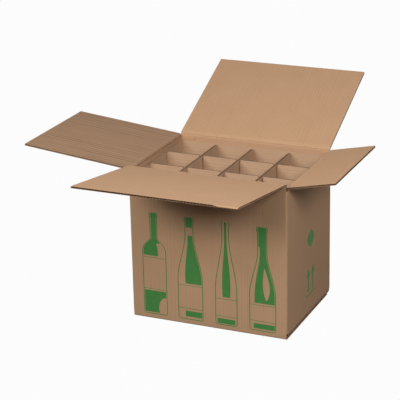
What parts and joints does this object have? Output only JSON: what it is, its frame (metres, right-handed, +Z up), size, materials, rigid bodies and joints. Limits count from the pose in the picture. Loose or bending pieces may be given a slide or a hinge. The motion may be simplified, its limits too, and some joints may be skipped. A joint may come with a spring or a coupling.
{
  "type": "bottle shipping box",
  "caption": "Corrugated board carton for bottles with an interlocking divider insert, a loose liner and hinged top flaps standing open.",
  "frame": {"origin": "on the resting face, under the middle of the carton's walls", "axes": "+Z up, -Y out of the front wall, +X to the right as seen from the front"},
  "size_m": [0.8517, 0.9117, 0.5399],
  "materials": {
    "kraft_board": "matt brown kraft liner with faint flute lines",
    "insert_board": "matt brown board with open flutes at its top edges"
  },
  "bodies": {
    "box": {"carton": "kraft_board", "liner": "insert_board", "long_divider_1": "insert_board", "long_divider_2": "insert_board", "cross_divider_1": "insert_board", "cross_divider_2": "insert_board", "cross_divider_3": "insert_board"},
    "front_flap": {"front_flap": "kraft_board"},
    "back_flap": {"back_flap": "kraft_board"},
    "left_flap": {"left_flap": "kraft_board"},
    "right_flap": {"right_flap": "kraft_board"}
  },
  "joints": [
    {"name": "front_crease", "type": "hinge", "parent": "box", "child": "front_flap", "pos_m": [0, -0.16215, 0.40955], "axis": [-1, 0, 0], "range_deg": [-98.5, 171.5]},
    {"name": "back_crease", "type": "hinge", "parent": "box", "child": "back_flap", "pos_m": [0, 0.16215, 0.40465], "axis": [1, 0, 0], "range_deg": [-115, 155]},
    {"name": "left_crease", "type": "hinge", "parent": "box", "child": "left_flap", "pos_m": [-0.21465, 0, 0.39975], "axis": [0, 1, 0], "range_deg": [-96, 174]},
    {"name": "right_crease", "type": "hinge", "parent": "box", "child": "right_flap", "pos_m": [0.21465, 0, 0.39975], "axis": [0, -1, 0], "range_deg": [-102, 168]}
  ]
}
